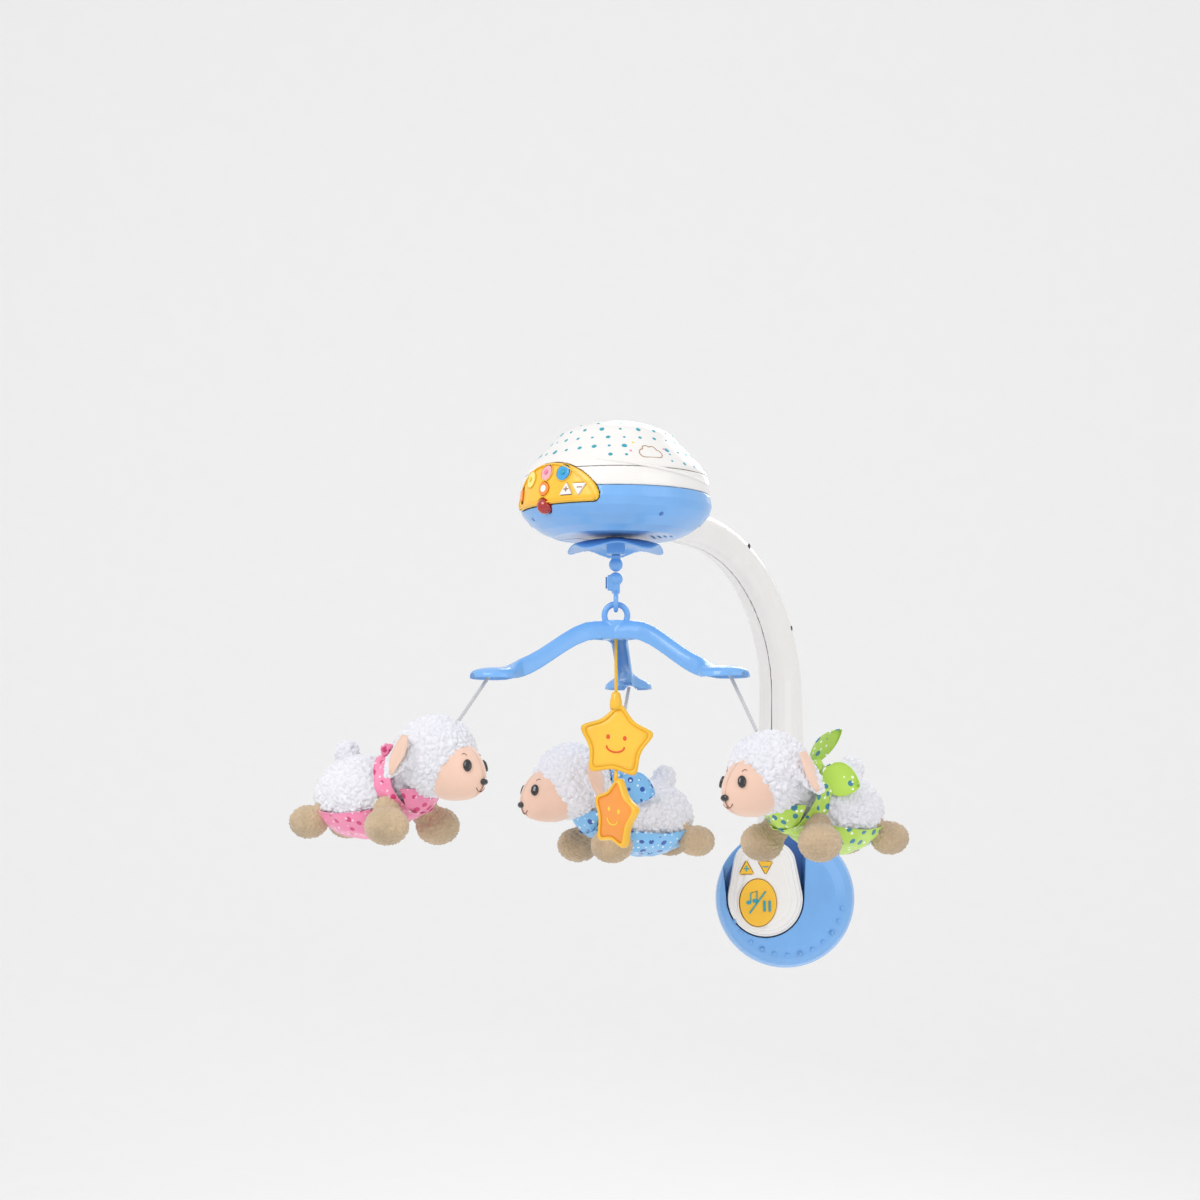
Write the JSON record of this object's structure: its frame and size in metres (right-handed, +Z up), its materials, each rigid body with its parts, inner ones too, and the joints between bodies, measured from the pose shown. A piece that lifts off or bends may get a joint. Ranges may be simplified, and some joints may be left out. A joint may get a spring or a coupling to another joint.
{
  "type": "crib mobile",
  "caption": "Crib mobile with a domed projector head on an arched arm, a turning hanger with plush lambs and stars, and a moon-shaped rail clamp holding a remote.",
  "frame": {"origin": "centre of the fixed clamp face that rests on the crib rail's inner side", "axes": "+Z up, +Y from the fixed face through the rail towards the clamp's knob, so the mobile hangs over the crib at -Y; +X along the rail"},
  "size_m": [0.5864, 0.5343, 0.5383],
  "materials": {
    "blue_gloss": "glossy sky-blue moulded plastic",
    "blue_deep": "deeper blue moulded plastic",
    "white_gloss": "glossy off-white moulded plastic",
    "yellow_plastic": "golden yellow moulded plastic",
    "pale_yellow_button": "pale yellow translucent key",
    "pink_button": "pink translucent key",
    "blue_button": "blue translucent key",
    "orange_plastic": "orange moulded plastic",
    "red_lens": "red translucent dome",
    "rubber_grey": "matt grey rubber",
    "steel": "plated steel",
    "board_green": "solder-masked circuit board",
    "inner_plastic": "natural moulded plastic",
    "lamp_glass": "clear lamp body",
    "yellow_cord": "braided yellow cord",
    "white_cord": "twisted white cord",
    "fleece": "curly white fleece",
    "tan_terry": "tan looped terry",
    "pink_satin": "pink satin with darker dots",
    "light_blue_satin": "light-blue satin with navy dots",
    "lime_satin": "lime satin with navy and white dots"
  },
  "bodies": {
    "frame": {"moon_front": "blue_gloss", "clamp_bracket": "blue_gloss", "rail_pad": "rubber_grey", "arm_left": "white_gloss", "arm_right": "white_gloss", "arm_screws": "steel", "arm_tenon": "inner_plastic", "dome_lens": "white_gloss", "dome_skirt": "white_gloss", "base_shell": "blue_gloss", "control_panel": "yellow_plastic", "battery_door": "blue_gloss", "batteries": "steel", "speaker": "inner_plastic", "circuit_board": "board_green", "lamp": "lamp_glass", "motor": "steel", "gear_plate": "inner_plastic", "head_screws": "steel", "sound_sensor": "red_lens"},
    "jaw": {"clamp_jaw": "blue_gloss", "clamp_pad": "rubber_grey"},
    "knob": {"clamp_rod": "white_gloss", "clamp_knob": "blue_gloss"},
    "remote": {"remote_front": "white_gloss", "remote_back": "white_gloss", "remote_board": "board_green"},
    "play_key": {"remote_play_button": "yellow_plastic"},
    "plus_key": {"remote_plus_button": "yellow_plastic"},
    "minus_key": {"remote_minus_button": "yellow_plastic"},
    "lullaby_key": {"lullaby_button": "pale_yellow_button"},
    "nature_key": {"nature_button": "pink_button"},
    "voice_key": {"voice_button": "blue_button"},
    "volume_up_key": {"volume_up_button": "white_gloss"},
    "volume_down_key": {"volume_down_button": "white_gloss"},
    "timer_key": {"timer_button": "orange_plastic"},
    "switch": {"power_switch": "orange_plastic"},
    "pinion": {"motor_pinion": "inner_plastic"},
    "rotor": {"drive_gear": "inner_plastic", "drive_shaft": "steel", "collar": "blue_gloss", "upper_link": "blue_gloss", "hook": "blue_gloss", "hook_gate": "blue_deep"},
    "hanger": {"hanger": "blue_gloss"},
    "star_line": {"star_cord": "yellow_cord", "upper_star": "yellow_plastic"},
    "low_star": {"lower_star": "yellow_plastic"},
    "line_a": {"lamb_a_cord": "white_cord"},
    "lamb_a": {"lamb_a_body": "fleece", "lamb_a_feet": "tan_terry", "lamb_a_scarf": "pink_satin"},
    "line_b": {"lamb_b_cord": "white_cord"},
    "lamb_b": {"lamb_b_body": "fleece", "lamb_b_feet": "tan_terry", "lamb_b_scarf": "light_blue_satin"},
    "line_c": {"lamb_c_cord": "white_cord"},
    "lamb_c": {"lamb_c_body": "fleece", "lamb_c_feet": "tan_terry", "lamb_c_scarf": "lime_satin"}
  },
  "joints": [
    {"name": "jaw_slide", "type": "slide", "parent": "frame", "child": "jaw", "axis": [0, 1, 0], "range_m": [-0.008, 0.012]},
    {"name": "knob_turn", "type": "hinge", "parent": "jaw", "child": "knob", "pos_m": [0, 0.06, 0], "axis": [0, 1, 0], "range_deg": [-721, 1081]},
    {"name": "remote_lift", "type": "slide", "parent": "frame", "child": "remote", "axis": [0, -1, 0], "range_m": [0, 0.06]},
    {"name": "play_press", "type": "slide", "parent": "remote", "child": "play_key", "axis": [0, 1, 0], "range_m": [0, 0.0015], "stiffness_N_per_m": 400},
    {"name": "plus_press", "type": "slide", "parent": "remote", "child": "plus_key", "axis": [0, 1, 0], "range_m": [0, 0.0015], "stiffness_N_per_m": 400},
    {"name": "minus_press", "type": "slide", "parent": "remote", "child": "minus_key", "axis": [0, 1, 0], "range_m": [0, 0.0015], "stiffness_N_per_m": 400},
    {"name": "lullaby_press", "type": "slide", "parent": "frame", "child": "lullaby_key", "axis": [0.7193, 0.6947, 0], "range_m": [0, 0.0012], "stiffness_N_per_m": 400},
    {"name": "nature_press", "type": "slide", "parent": "frame", "child": "nature_key", "axis": [0.7193, 0.6947, 0], "range_m": [0, 0.0012], "stiffness_N_per_m": 400},
    {"name": "voice_press", "type": "slide", "parent": "frame", "child": "voice_key", "axis": [0.7193, 0.6947, 0], "range_m": [0, 0.0012], "stiffness_N_per_m": 400},
    {"name": "volume_up_press", "type": "slide", "parent": "frame", "child": "volume_up_key", "axis": [0.7193, 0.6947, 0], "range_m": [0, 0.0012], "stiffness_N_per_m": 400},
    {"name": "volume_down_press", "type": "slide", "parent": "frame", "child": "volume_down_key", "axis": [0.7193, 0.6947, 0], "range_m": [0, 0.0012], "stiffness_N_per_m": 400},
    {"name": "timer_press", "type": "slide", "parent": "frame", "child": "timer_key", "axis": [0.7193, 0.6947, 0], "range_m": [0, 0.0012], "stiffness_N_per_m": 400},
    {"name": "switch_slide", "type": "slide", "parent": "frame", "child": "switch", "axis": [0, 0, 1], "range_m": [-0.0025, 0.0025]},
    {"name": "hanger_spin", "type": "hinge", "parent": "frame", "child": "rotor", "pos_m": [-0.18177, -0.29997, 0.32], "axis": [0, 0, 1], "continuous": true},
    {"name": "pinion_spin", "type": "hinge", "parent": "frame", "child": "pinion", "pos_m": [-0.16614, -0.27845, 0.336], "axis": [0, 0, 1], "continuous": true},
    {"name": "hanger_tilt", "type": "hinge", "parent": "rotor", "child": "hanger", "pos_m": [-0.18177, -0.29997, 0.2552], "axis": [0, 1, 0], "range_deg": [-6, 6]},
    {"name": "star_swing", "type": "hinge", "parent": "hanger", "child": "star_line", "pos_m": [-0.18177, -0.29997, 0.243], "axis": [0, 1, 0], "range_deg": [-8, 8]},
    {"name": "low_star_twist", "type": "hinge", "parent": "star_line", "child": "low_star", "pos_m": [-0.18177, -0.29997, 0.1], "axis": [0, 0, 1], "range_deg": [-25, 25]},
    {"name": "lamb_a_swing", "type": "hinge", "parent": "hanger", "child": "line_a", "pos_m": [-0.30072, -0.35243, 0.1884], "axis": [0.4035, -0.915, 0], "range_deg": [-5, 22]},
    {"name": "lamb_a_twist", "type": "hinge", "parent": "line_a", "child": "lamb_a", "pos_m": [-0.3289, -0.3667, 0.1452], "axis": [0, 0, 1], "range_deg": [-12, 12]},
    {"name": "lamb_b_swing", "type": "hinge", "parent": "hanger", "child": "line_b", "pos_m": [-0.16773, -0.17073, 0.1884], "axis": [-0.9942, 0.108, 0], "range_deg": [-8, 10]},
    {"name": "lamb_b_twist", "type": "hinge", "parent": "line_b", "child": "lamb_b", "pos_m": [-0.1847, -0.16, 0.097], "axis": [0, 0, 1], "range_deg": [-12, 12]},
    {"name": "lamb_c_swing", "type": "hinge", "parent": "hanger", "child": "line_c", "pos_m": [-0.07687, -0.37675, 0.1884], "axis": [0.5906, 0.807, 0], "range_deg": [-5, 20]},
    {"name": "lamb_c_twist", "type": "hinge", "parent": "line_c", "child": "lamb_c", "pos_m": [-0.053, -0.388, 0.1356], "axis": [0, 0, 1], "range_deg": [-12, 12]}
  ],
  "couplings": [
    {"joint": "knob_turn", "follows": "jaw_slide", "rad_per_m": 1570.8},
    {"joint": "pinion_spin", "follows": "hanger_spin", "ratio": -4}
  ]
}
